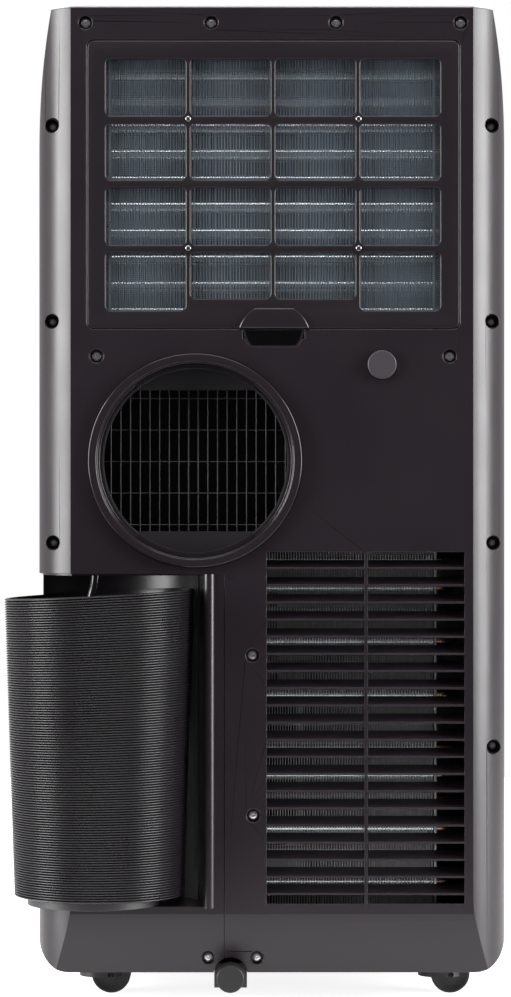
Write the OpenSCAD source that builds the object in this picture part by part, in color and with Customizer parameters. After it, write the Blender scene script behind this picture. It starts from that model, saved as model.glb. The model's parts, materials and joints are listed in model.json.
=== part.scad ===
// Portable air conditioner, seen from its service side.
// The back plane of the casing faces -Y, the front faces +Y, +Z is up.
// The origin is the middle of the footprint, on the floor.

/* [Casing] */
// Width of the casing
body_w = 345; // [345:0.5:347]
// Depth of the casing, back plane to front
body_d = 330; // [330:1:360]
// Height of the lower edge of the casing above the floor
body_z = 21; // [20.5:0.1:21]
// Height of the joint between the dark casing and the top cover
case_top = 727; // [727:1:735]
// Height of the top cover
top_h = 15; // [15:1:20]
// Wall thickness of the mouldings
wall = 2.5; // [2.4:0.1:2.6]
// Depth at which the rear cover meets the front cover
split_y = 150; // [150:1:152]

/* [Air filter] */
// Width of the filter frame
filter_w = 272; // [270:0.5:272]
// Height of the filter frame
filter_h = 210.6; // [209:0.2:210.6]
// Width of one filter window
tile_w = 58.4; // [56:0.2:59]
// Furthest angle of the filter frame
filter_open = 40; // [20:1:45]

/* [Exhaust] */
// Inner radius of the duct outlet
duct_r = 72; // [70:0.5:72]
// Outer radius of the duct collar
duct_ro = 78.1; // [76:0.1:78.1]
// Radius of the hose at its upper end
hose_r1 = 70; // [66:0.5:70]
// Radius of the hose at its lower end
hose_r0 = 62.5; // [58:0.5:64]
// Wall thickness of the compressed hose
hose_t = 4; // [3:0.5:6]
// Number of vertical wires in the outlet guard
guard_n = 19; // [15:2:19]

/* [Condenser grille] */
// Number of slots in the grille
slot_n = 21; // [19:1:21]
// Distance from slot to slot
slot_pitch = 12.53; // [12:0.01:12.53]

/* [Casters] */
// Radius of the caster wheels
wheel_r = 14.5; // [14:0.1:14.5]
// Trail of the wheel behind the swivel axis
trail = 6.7; // [5:0.1:7]

/* [Fans] */
// Radius of the evaporator fan wheel
evap_fan_r = 85; // [75:1:88]
// Radius of the exhaust fan wheel
exh_fan_r = 60; // [50:1:62]
// Number of blades on the evaporator fan wheel
evap_blades = 24; // [12:2:24]
// Number of blades on the exhaust fan wheel
exh_blades = 20; // [10:2:20]

/* [Power cord] */
// Diameter of the mains lead
cord_d = 6.4; // [6:0.1:6.4]
// Mean radius of the coil of spare lead
coil_r = 40; // [38:0.5:42]

/* [Hidden] */
$fn = 64;
// the footprint runs from the hose on the left to the right side wall,
// and from the hose behind the back plane to the front cover
x_off = 12.09;
y_off = -140.1;
hw = body_w / 2;
crease = 147;            // half width of the flat back
side_y = 40;             // depth at which the side turns straight
side_r = 44.1;           // radius of the rear vertical corners
front_r = 45;            // radius of the front vertical corners
// air filter
fx = 1; fz0 = 492.4;     // centre and lower edge of the filter frame
tile_x = [-92.3, -30.3, 31.7, 93.7];
tile_z = [[505.6, 548.2], [553.5, 595.5], [601.1, 642.3], [648, 689.5]];
filter_y = 1; filter_z = fz0 + filter_h - 4;   // filter hinge line
// duct
dx = -56.2; dz = 396.1;
// grille
gx0 = -4.1; gx1 = 140.6; gz1 = 329.2; slot_h = 11.25;
// hose and bay
hx = -127; hy = 20; hz = 77; bay_r = 75; seam_x = -34.8; bay_top = 313; bay_floor = 70;
hose_h = 221.4;
// screws: x, z of every counterbore in the back and rounded corners
screw_flat = [[-136.3, 716], [-44.5, 716], [46.7, 716], [137.8, 716],
  [-128.2, 472.4], [129.9, 472.4], [-14.2, 253.7], [-13.6, 136.7], [-11.2, 32.2]];
screw_bay = [[-46.7, 32.3]];
screw_side = [[161.3, 642], [161.5, 498.3], [162.4, 335.8], [162.6, 186], [-161.3, 642], [-161.5, 498.3], [-160.6, 335.8]];
// drains
ux = 80.3; uz = 466; lx = -30.4; lz = 20;
// fans
ex = 0; ez = 605; qx = 62; qz = 396;
// casters
caster_x = 126.3; caster_y = [57, 273];
// mains lead, from the gland down into the hose and on to the coil
route = [[-130, 25, 314.5], [-130.6, 25, 306], [-133, 24, 296], [-137, 23, 280],
  [-142, 22, 262], [-147, 20, 243], [-152, 18, 224], [-157, 15, 205], [-161, 12, 187],
  [-164, 8, 169], [-166, 5, 152], [-166.7, 4, 139], [-167, 4.6, 128.4], [-167, 7.5, 118.8],
  [-166.8, 13, 111.4], [-166.4, 21, 107.2], [-165.6, 30.4, 106], [-161.6, 40, 106]];
coil_rows = 4;

module place() { translate([x_off, y_off, 0]) children(); }

// plan outline of the casing, inset by t
module plan(t) {
  intersection() {
    union() {
      for (s = [-1, 1]) {
        translate([s * (hw - side_r), side_y]) circle(r = side_r - t);
        translate([s * (hw - front_r), body_d - front_r]) circle(r = front_r - t);
      }
      translate([-hw + t, side_y]) square([body_w - 2 * t, body_d - front_r - side_y]);
      translate([-hw + front_r, t]) square([body_w - 2 * front_r, body_d - 2 * t]);
    }
    translate([-hw, t]) square([body_w, body_d - 2 * t]);
  }
}
// how far the sides draw in towards the top
function draw_in(z) = z < 610 ? 0 : 10 * pow((z - 610) / 115, 2.2);
top_zs = [for (i = [0 : 12]) 610 + i * (case_top + 0.01 - 610) / 12];
function half_outline(t) = concat([[hw - 24, -5]],
  [for (i = [0 : 9]) [hw - 24 + (24 - t) * sin(i * 10), 46 - (25 - t) * cos(i * 10)]],
  [for (z = top_zs) [hw - t - draw_in(z), z]]);
// lower edge of the back, which turns in towards the floor
foot_h = 74; foot_in = 8;
function foot_y(z) = z > foot_h ? 0 : foot_in * pow((foot_h - z) / (foot_h - 21), 1.7);
// side profile seen from behind, inset by t
module outline(t) {
  h = half_outline(t);
  n = len(h);
  polygon(concat(h, [for (i = [n - 1 : -1 : 0]) [-h[i][0], h[i][1]]]));
}
module casing_block(t, z0, z1) {
  intersection() {
    translate([0, 0, z0]) linear_extrude(z1 - z0) plan(t);
    translate([0, body_d + 10, 0]) rotate([90, 0, 0]) linear_extrude(body_d + 20) outline(t);
    if (z0 < foot_h) translate([-hw - 1, 0, 0]) rotate([90, 0, 90]) linear_extrude(body_w + 2)
      polygon(concat([[body_d + 5, 0], [body_d + 5, case_top + 50], [t, case_top + 50]],
        [for (i = [0 : 12]) let (z = foot_h - i * (foot_h - 18) / 12) [t + foot_y(z), z]], [[t + foot_y(18), 0]]));
  }
}
module block(a, b) { translate(a) cube(b - a); }
// cylinder along +Y from y0 to y1, centred on x, z
module ycyl(x, z, r, y0, y1) { translate([x, y0, z]) rotate([-90, 0, 0]) cylinder(r = r, h = y1 - y0); }
// slab with rounded corners in the plane of the back
module rblock(x0, x1, z0, z1, y0, y1, r) {
  block([x0 + r, y0, z0], [x1 - r, y1, z1]);
  block([x0, y0, z0 + r], [x1, y1, z1 - r]);
  for (x = [x0 + r, x1 - r], z = [z0 + r, z1 - r]) ycyl(x, z, r, y0, y1);
}
// depth of the casing surface at x
function low(z) = z < 60 ? 5.5 : 0;
function surf(x) = abs(x) <= crease ? 0 : side_y - sqrt(side_r * side_r - pow(abs(x) - hw + side_r, 2));
module cup_solid(x, z) { ycyl(x, z, 7.3, surf(x) + low(z) + (abs(x) > crease ? 5 : 1), surf(x) + low(z) + (abs(x) > crease ? 19 : 11)); }
module cup_hollow(x, z) {
  d = (abs(x) > crease ? 11.5 : 4.8) + low(z);
  ycyl(x, z, 5.3, -2, surf(x) + d);
  ycyl(x, z, 2.1, 0, surf(x) + 30);
}

// room under the casing for the casters to swivel
module caster_cut() {
  for (x = [-caster_x, caster_x], y = caster_y) translate([x, y, 0]) cylinder(r = 27.8, h = 39);
}
module rear_cover() place() color("#2f2c2f") {
  difference() {
    union() {
      difference() {
        casing_block(0, body_z, case_top);
        casing_block(wall, body_z - 1, case_top + 1);
        block([-hw - 1, split_y, 0], [hw + 1, body_d + 1, case_top + 1]);
      }
      // pocket that the filter sits in
      difference() {
        block([fx - filter_w / 2 - 3, 2, fz0 - 3], [fx + filter_w / 2 + 3, 14, fz0 + filter_h + 3]);
        block([fx - filter_w / 2 - 0.5, 0, fz0 - 0.5], [fx + filter_w / 2 + 0.5, 20, fz0 + filter_h + 0.5]);
      }
      // finger pocket under the filter tab
      block([-24, 2, 476.5], [26.3, 20, fz0]);
      intersection() {
        union() {
          for (p = screw_flat) cup_solid(p[0], p[1]);
          for (p = screw_side) cup_solid(p[0], p[1]);
        }
        casing_block(1, body_z, case_top);
      }
    }
    rblock(fx - filter_w / 2 - 0.5, fx + filter_w / 2 + 0.5, fz0 - 0.5, fz0 + filter_h + 0.5, -1, 10, 5.5);
    block([-21.5, -1, 485], [23.8, 17.5, fz0 + 0.4]);
    intersection() {
      block([-21.5, -1, 479], [23.8, 17.5, 492]);
      ycyl(1.15, 494, 22.6, -2, 18);
    }
    ycyl(dx, dz, duct_ro + 0.3, -1, 4);
    ycyl(ux, uz, 10.8, -1, 4);
    ycyl(lx, lz, 12.3, -1, 14);
    // grille slots, two columns
    for (i = [0 : slot_n - 1]) {
      z1 = gz1 - i * slot_pitch;
      h = i == slot_n - 1 ? 6.35 : slot_h;
      block([gx0, -1, z1 - h], [67.5, 4, z1]);
      block([69.8, -1, z1 - h], [gx1, 4, z1]);
    }
    for (p = screw_flat) cup_hollow(p[0], p[1]);
    for (p = screw_side) cup_hollow(p[0], p[1]);
    caster_cut();
    // corner given over to the hose bay
    block([-hw - 1, -1, 0], [seam_x, split_y + 1, bay_top]);
  }
  // sloping blades behind the slots
  for (i = [0 : slot_n - 2]) {
    z1 = gz1 - i * slot_pitch;
    translate([gx0 - 2, 2.4, z1 - slot_h - 1.28]) rotate([90, 0, 90]) linear_extrude(gx1 - gx0 + 4)
      polygon([[0, 0], [0, 1.28], [12, 6.6], [12, 5.2]]);
  }
  // side rails that carry the blades
  for (x = [gx0 - 4, gx1 + 2]) block([x, 2, 68], [x + 2, 16, 324]);
}

module hose_bay() place() color("#312e31") {
  difference() {
    union() {
      // lower skirt
      difference() {
        casing_block(0, body_z, bay_floor);
        casing_block(wall, body_z - 1, bay_floor - wall);
        block([-hw - 1, 110, bay_floor - wall - 0.1], [hw + 1, split_y + 1, bay_floor + 1]);
      }
      // side wall behind the bay
      intersection() {
        difference() {
          casing_block(0, bay_floor - 5, bay_top);
          casing_block(wall, bay_floor - 6, bay_top + 1);
        }
        block([-hw - 1, 84, 0], [-hw + 10, split_y + 1, bay_top]);
      }
      // narrow band beside the seam
      block([-48, 0, bay_floor - 1], [seam_x - 0.3, wall, bay_top]);
      // slanted wall from the band to the round wall
      translate([0, 0, bay_floor - 1]) linear_extrude(bay_top - bay_floor + 1)
        polygon([[-48, 0], [-45.3, 0], [-51, 42], [-54.2, 42]]);
      block([seam_x - 0.3 - wall, 0, bay_floor - 1], [seam_x - 0.3, 12, bay_top]);
      // half-round bead along the edge of the bay
      translate([-46, 1.2, bay_floor - 1]) cylinder(r = 4, h = bay_top - bay_floor + 1);
      // round wall that the hose stands in
      intersection() {
        translate([hx, hy, bay_floor - 1]) difference() {
          cylinder(r = bay_r + wall, h = bay_top - bay_floor + 1, $fn = 96);
          translate([0, 0, -1]) cylinder(r = bay_r, h = 300, $fn = 96);
        }
        union() {
          block([-hw + 1, 40, 0], [-40, 110, 400]);
          block([-hw + 1, 60, 0], [-60, 110, 400]);
        }
      }
      // ceiling with the cord recess
      intersection() {
        union() {
          block([-hw + wall, wall, bay_top - 1], [-47, 105, bay_top + wall]);
          block([-151, 7.5, bay_top], [-103.5, 82.5, 333.5]);
        }
        casing_block(wall, 100, 400);
      }
    }
    block([-148.5, 10, bay_top - 2], [-106, 80, 331]);
    translate([-130, 25, 325]) cylinder(r = 5.8, h = 20);
    block([seam_x - 0.3, -1, 0], [hw + 1, body_d, 400]);
    block([-hw - 1, split_y, 0], [hw + 1, body_d + 1, 400]);
    ycyl(lx, lz, 12.3, -1, 14);
    for (p = screw_bay) ycyl(p[0], p[1], 5.3, -1, 10.2);
    caster_cut();
  }
  // screw cup in the skirt
  for (p = screw_bay) difference() {
    intersection() {
      ycyl(p[0], p[1], 7.3, 1.5, 16.5);
      casing_block(1, body_z, 60);
    }
    ycyl(p[0], p[1], 5.3, 0, 10.3);
    ycyl(p[0], p[1], 2.1, 0, 30);
  }
}

module front_cover() place() color("#efefee") {
  difference() {
    union() {
      difference() {
        casing_block(0, body_z, case_top);
        casing_block(wall, body_z - 1, case_top + 1);
        block([-hw - 1, -1, 0], [hw + 1, split_y + 0.4, case_top + 1]);
      }
      // pivot lugs of the louvre
      for (x = [-127, 121.5]) block([x, 320, 673], [x + 5.5, body_d - 1, 687]);
    }
    caster_cut();
    block([-121, body_d - 12, 654.4], [121, body_d + 1, 705.6]);
    translate([-130, 325.5, 680]) rotate([0, 90, 0]) cylinder(r = 2.08, h = 260);
    for (s = [-1, 1]) block([min(s * 150, s * 180), 180, 560], [max(s * 150, s * 180), 270, 596]);
  }
}

module top_cover() place() color("#f1f1f0") {
  difference() {
    intersection() {
      translate([0, 0, case_top]) linear_extrude(top_h) plan(1);
      block([-162, 0, case_top - 1], [162, body_d, case_top + top_h + 1]);
    }
    intersection() {
      translate([0, 0, case_top - 1]) linear_extrude(top_h - wall + 1) plan(1 + wall);
      block([-162 + wall, 0, case_top - 2], [162 - wall, body_d, case_top + top_h + 1]);
    }
    block([-75.3, 69.7, case_top], [75.3, 120.3, case_top + top_h + 1]);
  }
}

module control_panel() place() color("#17181a") {
  z = case_top + top_h;
  difference() {
    union() {
      block([-75, 70, z - 4], [75, 120, z + 0.6]);
      block([-79, 66, z - 5.5], [79, 124, z - wall]);
    }
    for (x = [-54, -36, 36, 54]) translate([x, 95, z - 20]) cylinder(r = 6.3, h = 40);
  }
}
module button(x) {
  z = case_top + top_h;
  translate([x, 95, z - 4.5]) cylinder(r = 6, h = 6.6);
  translate([x, 95, z - 12]) cylinder(r = 3, h = 7.6);
}
module button_power() place() color("#c9cccf") button(-54);
module button_mode() place() color("#c9cccf") button(-36);
module button_up() place() color("#c9cccf") button(36);
module button_down() place() color("#c9cccf") button(54);

module base_pan() place() color("#3a393c") {
  difference() {
    union() {
      difference() {
        casing_block(3.2, body_z + 1, 46);
        casing_block(5.7, 27, 60);
        // flat underside between the casters
        block([-hw, -1, 0], [hw, body_d + 1, 24]);
      }
      for (x = [-caster_x, caster_x], y = caster_y) {
        translate([x, y, 24]) cylinder(r = 27.5, h = 14.5);
        translate([x, y, 38]) cylinder(r = 8, h = 16);
      }
      // sump that the drain spout leaves from
      block([lx - 12, 14, 9], [lx + 12, 36, 27]);
    }
    for (x = [-caster_x, caster_x], y = caster_y) {
      translate([x, y, 20]) cylinder(r = 25, h = 16);
      translate([x, y, 30]) cylinder(r = 4.08, h = 22);
    }
    block([lx - 9.5, 16.5, 11.5], [lx + 9.5, 33.5, 40]);
    ycyl(lx, lz, 4.5, 10, 20);
    ycyl(lx, lz, 12.6, -1, 14);
    for (p = [[-46.7, 32.3], [-11.2, 32.2]]) ycyl(p[0], p[1], 8, -1, 23);
  }
}

module screw(x, z) {
  d = (abs(x) > crease ? 11.5 : 4.8) + low(z);
  ycyl(x, z, 3.7, surf(x) + d - 2.8, surf(x) + d);
  ycyl(x, z, 1.9, surf(x) + d - 0.5, surf(x) + d + 7);
}
module casing_screws() place() color("#8c8a8c") {
  for (p = screw_flat) screw(p[0], p[1]);
  for (p = screw_bay) screw(p[0], p[1]);
  for (p = screw_side) screw(p[0], p[1]);
}

module wedge(a) { polygon([[0, 0], [200 * sin(a), 200 * cos(a)], [0, 260], [-200 * sin(a), 200 * cos(a)]]); }
module duct_collar() place() color("#343134") {
  difference() {
    union() {
      ycyl(dx, dz, duct_ro, -5, 30);
      intersection() {
        ycyl(dx, dz, duct_ro + 7.5, 2.5, 6);
        block([-200, 0, 317], [200, 20, 600]);
      }
    }
    ycyl(dx, dz, duct_r, -6, 8);
    ycyl(dx, dz, duct_r - 2, 7, 31);
  }
  // bayonet lugs, top and bottom
  for (a = [0, 180]) translate([dx, 12, dz]) rotate([90, a, 0]) linear_extrude(4)
    intersection() {
      difference() { circle(r = duct_r + 1, $fn = 96); circle(r = duct_r - 4.5, $fn = 96); }
      wedge(38);
    }
}
module exhaust_guard() place() color("#4a484b") {
  difference() {
    ycyl(dx, dz, duct_r - 2, 20, 25);
    ycyl(dx, dz, duct_r - 4.5, 19, 26);
  }
  // plates over and under the wires
  intersection() {
    ycyl(dx, dz, duct_r - 3, 21, 24.5);
    union() {
      block([dx - 80, 10, dz + 52], [dx + 80, 30, dz + 80]);
      block([dx - 80, 10, dz - 80], [dx + 80, 30, dz - 52]);
    }
  }
  intersection() {
    ycyl(dx, dz, duct_r - 3, 20, 25);
    union() {
      for (i = [0 : guard_n - 1]) block([dx + 1.9 + (i - 9) * 7.15 - 0.6, 22, 300], [dx + 1.9 + (i - 9) * 7.15 + 0.6, 23.2, 500]);
      for (k = [-2 : 2]) block([dx - 80, 23, dz - 0.6 + k * 23.3 - 0.5], [dx + 80, 24, dz - 0.6 + k * 23.3 + 0.5]);
    }
  }
}

module hose_shelf() place() color("#3c393d") translate([-131, 22, bay_floor]) {
  cylinder(r = 49, h = 6.2, $fn = 96);
  translate([0, 0, 6.2]) cylinder(r = 47.6, h = hz - bay_floor - 6.2, $fn = 96);
}

module exhaust_hose() place() color("#1d1c1e") {
  difference() {
    translate([hx, hy, hz]) rotate_extrude($fn = 96)
      polygon([[hose_r0 - hose_t, 0], [hose_r0, 0], [hose_r1, hose_h + 6], [hose_r1 - hose_t, hose_h + 6]]);
    // the pleats stand closer together on the left
    translate([hx, hy, hz + hose_h]) rotate([0, -3, 0]) translate([-100, -100, 0]) cube([200, 200, 40]);
  }
}

// ---- heat exchangers ----
module fin_block(a, b, ys, z0, zp, n) {
  difference() {
    block(a, b);
    for (y = ys, i = [0 : n - 1]) translate([a[0] - 1, y, z0 + i * zp]) rotate([0, 90, 0]) cylinder(r = 4, h = b[0] - a[0] + 2, $fn = 24);
  }
}
module bend(x, y0, y1, z, s) {
  // return bend from y0 to y1 on the side s
  translate([x, (y0 + y1) / 2, z]) rotate([0, 0, s > 0 ? -90 : 90]) rotate_extrude(angle = 180, $fn = 32)
    translate([abs(y1 - y0) / 2, 0]) circle(r = 3.9, $fn = 24);
}
module tube_bank(x0, x1, ys, z0, zp, n) {
  for (y = ys, i = [0 : n - 1]) translate([x0, y, z0 + i * zp]) rotate([0, 90, 0]) cylinder(r = 3.9, h = x1 - x0, $fn = 24);
  for (i = [0 : n - 1]) { bend(x1, ys[0], ys[1], z0 + i * zp, 1); }
  for (i = [0 : n - 2]) translate([x0, ys[i % 2], z0 + (i + 0.5) * zp]) rotate([90, 0, 0]) rotate([0, 0, 90])
    rotate_extrude(angle = 180, $fn = 32) translate([zp / 2, 0]) circle(r = 3.9, $fn = 24);
}
module evaporator_fins() place() color("#7b8f96") fin_block([-119, 25, 481], [119, 65, 702], [35, 55], 506.3, 19.5, 10);
module evaporator_tubes() place() color("#b9784a") tube_bank(-122.5, 122.5, [35, 55], 506.3, 19.5, 10);
module plate(x, y0, y1, z0, z1, ys, t0, zp, n) {
  difference() {
    block([x, y0, z0], [x + 1.5, y1, z1]);
    for (y = ys, i = [0 : n - 1]) translate([x - 1, y, t0 + i * zp]) rotate([0, 90, 0]) cylinder(r = 4, h = 4, $fn = 24);
  }
}
module evaporator_plates() place() color("#c7cacc") {
  for (x = [-120.5, 119]) plate(x, 24.5, 66, 481, 704, [35, 55], 506.3, 19.5, 10);
}
module condenser_fins() place() color("#8b8888") fin_block([-6, 28, 62], [120, 68, 332], [38, 58], 84.9, 19.83, 13);
module condenser_tubes() place() color("#b9784a") tube_bank(-9.5, 123.5, [38, 58], 84.9, 19.83, 13);
module condenser_plates() place() color("#c7cacc") {
  plate(-7.5, 27, 69, 61, 333, [38, 58], 84.9, 19.83, 13);
  plate(120, 27, 69, 61, 333, [38, 58], 84.9, 19.83, 13);
  // feet: on the pan floor on the left, on the caster housing on the right
  block([-7.5, 27, 27], [-6, 45, 61.5]);
  block([-17.5, 27, 27], [-6, 45, 28.5]);
  block([120, 31, 38.5], [121.5, 45, 61.5]);
  block([120, 31, 38.5], [131.5, 45, 40]);
}

module drain_tray() place() color("#b9bcbd") {
  difference() {
    union() {
      block([-150, 23, 478], [150, 176, 490]);
      block([ux - 14, 23, 452], [ux + 14, 48, 480]);
    }
    difference() {
      block([-147.5, 22.9, 481], [147.5, 173.5, 491]);
      block([-151, 22, 480], [151, 24.4, 483.5]);
    }
    block([ux - 11.5, 25.5, 454.5], [ux + 11.5, 45.5, 482]);
    ycyl(ux, uz, 7, 20, 27);
  }
}

// ---- fans ----
module scroll_box(a, b, t) {
  difference() {
    block(a, b);
    block([a[0] + t, a[1] + t, a[2] + t], [b[0] - t, b[1] - t, b[2] - t]);
  }
}
module evaporator_scroll() place() color("#d9dadb") {
  difference() {
    scroll_box([-135, 72, 481], [135, 170, 718], 2.5);
    ycyl(ex, ez, 78, 71, 76);
    ycyl(ex, ez, 12, 160, 175);
    block([-118, 160, 650], [118, 175, 704]);
  }
  // volute cut-off
  difference() {
    intersection() {
      ycyl(ex, ez, 96, 73, 169);
      block([-130, 73, 485], [130, 169, 602]);
    }
    ycyl(ex, ez, 93.5, 70, 172);
  }
}
module fan_wheel(x, z, r, y0, y1, hub_y1, n) {
  difference() {
    union() {
      ycyl(x, z, r, y1 - 2, y1);
      ycyl(x, z, 14, y1 - 30, y1);
      ycyl(x, z, 4, y1 - 1, hub_y1);
      difference() { ycyl(x, z, r, y0, y0 + 3); ycyl(x, z, r - 12, y0 - 1, y0 + 4); }
      for (i = [0 : n - 1]) translate([x, 0, z]) rotate([0, i * 360 / n, 0]) translate([r - 11, y0 + 1, -0.8])
        cube([10, y1 - y0 - 2, 1.6]);
    }
  }
}
module evaporator_fan() place() color("#1f2022") fan_wheel(ex, ez, evap_fan_r, 80, 150, 176, evap_blades);
module exhaust_fan() place() color("#1f2022") fan_wheel(qx, qz, exh_fan_r, 110, 162, 186, exh_blades);
module motor(x, z, r, y0, y1) {
  difference() {
    union() {
      ycyl(x, z, r, y0, y1);
      for (a = [45 : 90 : 315]) translate([x, 0, z]) rotate([0, a, 0]) translate([r - 2, y0, -6]) cube([14, 4, 12]);
    }
    ycyl(x, z, 4.1, y0 - 1, y0 + 16);
  }
}
module evaporator_motor() place() color("#9ea1a4") motor(ex, ez - 0, 34, 170, 222);
module exhaust_scroll() place() color("#cfd0d1") {
  difference() {
    union() {
      scroll_box([-137, 104, 316], [150, 175, 477], 2.5);
      ycyl(dx, dz, 78, 30, 106.5);
    }
    ycyl(dx, dz, 75.5, 29, 106.5);
    ycyl(qx, qz, 46, 170, 176);
  }
  // volute wall round the wheel
  difference() {
    intersection() {
      ycyl(qx, qz, 70.5, 105, 174);
      block([qx, 105, 320], [149, 174, 475]);
    }
    ycyl(qx, qz, 68, 100, 180);
  }
}
module exhaust_motor() place() color("#9ea1a4") {
  motor(qx, qz, 32, 178, 228);
  // spider that holds the motor in the inlet
  for (a = [45 : 90 : 315]) translate([qx, 0, qz]) rotate([0, a, 0]) translate([42, 175, -6]) cube([14, 7, 12]);
}
module splash_motor() place() color("#77797c") {
  difference() { ycyl(10, 56, 18, 82, 112); ycyl(10, 56, 2.1, 80, 95); }
  block([-6, 84, 27], [26, 110, 42]);
}
module splash_wheel() place() color("#2a2b2d") {
  ycyl(10, 56, 24, 72, 74);
  ycyl(10, 56, 6, 72, 79);
  ycyl(10, 56, 2, 72, 93);
  for (a = [0 : 30 : 330]) translate([10, 72, 56]) rotate([0, a, 0]) translate([12, 0, -0.8]) cube([12, 6, 1.6]);
}

// ---- refrigerant circuit ----
module compressor() place() color("#26272a") {
  translate([78, 235, 0]) {
    translate([0, 0, 46]) cylinder(r = 52, h = 190);
    translate([0, 0, 236]) cylinder(r = 44, h = 12);
    translate([0, 0, 248]) cylinder(r = 10, h = 6);
    difference() {
      intersection() {
        translate([0, 0, 43]) cylinder(r = 70, h = 3);
        translate([0, 0, 43]) linear_extrude(3) polygon([[-75, -42], [75, -42], [0, 88]]);
      }
      for (p = [[-50, -30], [50, -30], [0, 58]]) translate([p[0], p[1], 40]) cylinder(r = 5.05, h = 10);
    }
  }
}
module compressor_feet() place() color("#151516") translate([78, 235, 0])
  for (p = [[-50, -30], [50, -30], [0, 58]]) translate([p[0], p[1], 0]) {
    translate([0, 0, 27]) cylinder(r = 10, h = 16);
    translate([0, 0, 42]) cylinder(r = 5, h = 6);
  }
module accumulator() place() color("#2b2c2f") translate([2, 250, 0]) {
  translate([0, 0, 96]) cylinder(r = 20, h = 110);
  translate([0, 0, 90]) cylinder(r = 12, h = 122);
  // strap to the compressor shell
  block([14, -10, 150], [24.2, -4, 170]);
}
// straight run from p to q along one axis, with a ball at the end for the elbow
module pipe_run(p, d, len) {
  translate(p) rotate(d) cylinder(r = 4, h = len, $fn = 32);
}
module refrigerant_pipes() place() color("#b87548") {
  // suction line, from the accumulator towards the evaporator
  pipe_run([2, 250, 212], [0, 0, 0], 84);
  translate([2, 250, 296]) sphere(r = 4, $fn = 32);
  pipe_run([2, 250, 296], [90, 0, 0], 70);
  // discharge line, from the compressor dome towards the condenser
  pipe_run([78, 235, 254], [0, 0, 0], 36);
  translate([78, 235, 290]) sphere(r = 4, $fn = 32);
  pipe_run([78, 235, 290], [90, 0, 0], 120);
}

module control_box() place() color("#b5b8ba") {
  difference() {
    block([-160, 190, 330], [-50, 290, 470]);
    block([-158.5, 191.5, 331.5], [-51.5, 288.5, 468.5]);
    block([-150, 180, 360], [-60, 192, 460]);
  }
  // circuit board on pillars
  block([-148, 284, 345], [-62, 286, 455]);
  for (x = [-140, -70], z = [352, 448]) ycyl(x, z, 3, 285, 289);
}
module run_capacitor() place() color("#d8d4c6") {
  translate([-85, 215, 331.5]) cylinder(r = 20, h = 70);
  for (x = [-91, -79]) block([x - 3, 214, 401], [x + 3, 215, 409]);
}
module outlet_duct() place() color("#d9dadb") {
  difference() {
    block([-122, 170, 646], [122, 298, 708]);
    block([-119.5, 169, 648.5], [119.5, 299, 705.5]);
  }
  for (x = [-90 : 30 : 90]) block([x - 0.8, 270, 648], [x + 0.8, 296, 706]);
}
module side_handles() place() color("#e4e4e3") for (s = [0, 1]) mirror([s, 0, 0]) difference() {
  block([142, 177.5, 557.5], [hw - wall, 272.5, 598.5]);
  block([144.5, 180, 560], [180, 270, 596]);
}
module drain_spout() place() color("#3b3a3d") difference() {
  union() { ycyl(lx, lz, 6, -13, 14); ycyl(lx, lz, 8.5, 1, 14); }
  ycyl(lx, lz, 4.5, -20, 20);
}
module upper_drain_spout() place() color("#3b3a3d") difference() {
  ycyl(ux, uz, 9.5, 2.5, 23);
  ycyl(ux, uz, 7, 0, 30);
}
module upper_drain_plug() place() color("#575257") {
  ycyl(ux, uz, 10.5, -4, 2.4);
  ycyl(ux, uz, 6.95, 2, 17);
}
module drain_seal() place() color("#161617") difference() {
  ycyl(lx, lz, 8.4, -1.2, 1);
  ycyl(lx, lz, 6.1, -5, 5);
}
module drain_cap() place() color("#363436") difference() {
  ycyl(lx, lz, 10, -20, -1.2);
  ycyl(lx, lz, 6.1, -15.5, 0);
}

// ---- air filter ----
module filter_frame() place() color("#2c292c") {
  difference() {
    union() {
      rblock(fx - filter_w / 2, fx + filter_w / 2, fz0, fz0 + filter_h, 0, 8, 5);
      // raised half-round tab over the finger pocket
      intersection() {
        ycyl(1.5, fz0 - 8, 27.2, -2.2, 1);
        block([-26, -5, fz0], [29, 5, fz0 + 15.2]);
      }
    }
    for (i = [0 : 3], k = [0 : 3])
      block([tile_x[i] - tile_w / 2, -5, (k == 0 && (i == 1 || i == 2)) ? 514.4 : tile_z[k][0]],
            [tile_x[i] + tile_w / 2, 20, tile_z[k][1]]);
    block([-125, 5.5, 502], [127, 20, 693]);
    for (x = [-61.3, 63.3], z = [551.2, 645.7]) ycyl(x, z, 1.5, -5, 20);
  }
}
module filter_mesh() place() color("#59666c") difference() {
  block([-124.7, 5.5, 502.3], [126.7, 6.3, 692.7]);
  for (x = [-61.3, 63.3], z = [551.2, 645.7]) ycyl(x, z, 1.5, -5, 20);
}
module filter_studs() place() color("#cfd0d2") for (x = [-61.3, 63.3], z = [551.2, 645.7]) {
  ycyl(x, z, 1.5, -0.1, 7);
  ycyl(x, z, 2.5, -0.9, 0);
}

// ---- front louvre ----
module outlet_louvre() place() color("#ececeb") {
  block([-120, 325.5, 655], [120, 329, 705]);
  translate([-126, 325.5, 680]) rotate([0, 90, 0]) cylinder(r = 2, h = 252);
  translate([-119, 325.5, 680]) rotate([0, 90, 0]) cylinder(r = 4, h = 238);
}

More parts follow.
